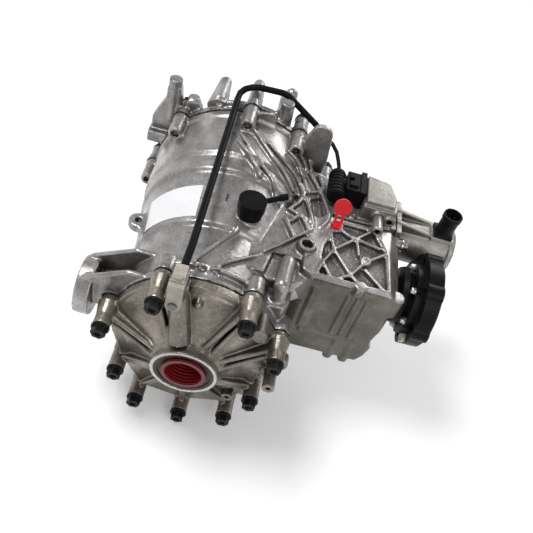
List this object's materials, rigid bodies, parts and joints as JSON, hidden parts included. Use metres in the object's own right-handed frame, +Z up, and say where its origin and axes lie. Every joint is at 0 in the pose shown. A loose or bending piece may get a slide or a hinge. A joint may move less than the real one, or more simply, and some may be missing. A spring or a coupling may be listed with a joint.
{
  "type": "rear differential",
  "caption": "Cast alloy rear differential with ribbed covers, a round input flange, a clutch lock with its actuator motor, a wired speed sensor and red transit plugs.",
  "frame": {"origin": "centre of the input flange's bolt circle on its outer face", "axes": "+X along the pinion axis, out of the input flange; +Y along the axle towards the far cover and the clutch; +Z up"},
  "size_m": [0.427, 0.3895, 0.278],
  "materials": {
    "cast_alloy": "sand-cast and shot-blasted, satin",
    "cover_alloy": "die-cast, warm grey satin",
    "steel": "ground and oiled",
    "bright_steel": "zinc plated",
    "black_steel": "black phosphate, satin",
    "weight_paint": "cream paint, matte",
    "black_plastic": "moulded, matte",
    "rubber": "matte rubber",
    "sealant": "cured bead, satin",
    "red_plastic": "moulded, semi-gloss",
    "sensor_plastic": "moulded, matte",
    "label_film": "white film, satin",
    "friction": "bonded friction lining"
  },
  "bodies": {
    "housing": {"main_housing": "cast_alloy", "near_cover": "cover_alloy", "far_cover": "cast_alloy", "near_cover_bolts": "black_steel", "far_cover_bolts": "black_steel", "near_sealant": "sealant", "far_sealant": "sealant", "near_oil_seal": "rubber", "far_oil_seal": "rubber", "pinion_oil_seal": "rubber", "near_bearing_cup": "steel", "far_bearing_cup": "steel", "pinion_head_cup": "steel", "pinion_tail_cup": "steel", "ear_bush_rubber": "rubber", "ear_bush_sleeve": "steel", "breather_pipe": "steel", "breather_cap": "black_plastic", "speed_sensor": "sensor_plastic", "sensor_screw": "bright_steel", "harness_lead": "black_plastic", "connector_boot": "rubber", "pod_connector": "black_plastic", "actuator_pod": "cast_alloy", "motor_housing": "cover_alloy", "motor_connector": "black_plastic", "actuator_bolts": "bright_steel", "drain_plug": "bright_steel", "part_label": "label_film"},
    "case": {"diff_case": "steel", "case_cover": "steel", "crown_wheel": "steel", "crown_bolts": "black_steel", "cross_pin": "steel", "near_bearing_cone": "steel", "far_bearing_cone": "steel", "clutch_steel_plates": "steel"},
    "near_gear": {"near_side_gear": "steel"},
    "far_gear": {"far_side_gear": "steel", "clutch_friction_plates": "friction"},
    "upper_spider": {"upper_spider_gear": "steel"},
    "lower_spider": {"lower_spider_gear": "steel"},
    "input": {"pinion_shaft": "steel", "pinion_head_cone": "steel", "pinion_tail_cone": "steel", "pinion_spacer": "steel", "input_flange": "black_steel", "flange_nut": "steel", "flange_screws": "bright_steel", "balance_weight": "weight_paint"},
    "ramp": {"ramp_ring": "steel"},
    "plate": {"pressure_plate": "steel"},
    "reduction": {"reduction_gear": "steel"},
    "motor": {"motor_rotor": "steel"},
    "sleeve": {"seal_sleeve": "red_plastic"},
    "tag": {"tag_plug": "red_plastic"}
  },
  "joints": [
    {"name": "crown_spin", "type": "hinge", "parent": "housing", "child": "case", "pos_m": [-0.262, 0, -0.04], "axis": [0, 1, 0], "continuous": true},
    {"name": "near_side_spin", "type": "hinge", "parent": "case", "child": "near_gear", "pos_m": [-0.262, 0, -0.04], "axis": [0, 1, 0], "continuous": true},
    {"name": "far_side_spin", "type": "hinge", "parent": "case", "child": "far_gear", "pos_m": [-0.262, 0, -0.04], "axis": [0, 1, 0], "continuous": true},
    {"name": "upper_spider_spin", "type": "hinge", "parent": "case", "child": "upper_spider", "pos_m": [-0.262, -0.03, -0.04], "axis": [0, 0, 1], "continuous": true},
    {"name": "lower_spider_spin", "type": "hinge", "parent": "case", "child": "lower_spider", "pos_m": [-0.262, -0.03, -0.04], "axis": [0, 0, 1], "continuous": true},
    {"name": "pinion_spin", "type": "hinge", "parent": "housing", "child": "input", "pos_m": [0, 0, 0], "axis": [1, 0, 0], "continuous": true},
    {"name": "ramp_turn", "type": "hinge", "parent": "housing", "child": "ramp", "pos_m": [-0.262, 0, -0.04], "axis": [0, 1, 0], "range_deg": [0, 16]},
    {"name": "plate_press", "type": "slide", "parent": "case", "child": "plate", "axis": [0, -1, 0], "range_m": [0, 0.0015]},
    {"name": "reduction_spin", "type": "hinge", "parent": "housing", "child": "reduction", "pos_m": [-0.16402, 0.088, 0.01], "axis": [0, 1, 0], "range_deg": [-72, 0]},
    {"name": "motor_spin", "type": "hinge", "parent": "housing", "child": "motor", "pos_m": [-0.16402, 0.088, 0.01], "axis": [1, 0, 0], "range_deg": [-200, 0]},
    {"name": "sleeve_pull", "type": "slide", "parent": "housing", "child": "sleeve", "axis": [0, -1, 0], "range_m": [0, 0.05]},
    {"name": "tag_pull", "type": "slide", "parent": "housing", "child": "tag", "axis": [0, 0, 1], "range_m": [0, 0.03]}
  ],
  "couplings": [
    {"joint": "pinion_spin", "follows": "crown_spin", "ratio": -3.6364},
    {"joint": "far_side_spin", "follows": "near_side_spin", "ratio": -1},
    {"joint": "upper_spider_spin", "follows": "near_side_spin", "ratio": 1.6},
    {"joint": "lower_spider_spin", "follows": "near_side_spin", "ratio": -1.6},
    {"joint": "reduction_spin", "follows": "ramp_turn", "ratio": -4.5},
    {"joint": "motor_spin", "follows": "ramp_turn", "ratio": -12.5},
    {"joint": "plate_press", "follows": "ramp_turn", "m_per_rad": 0.0053661}
  ]
}
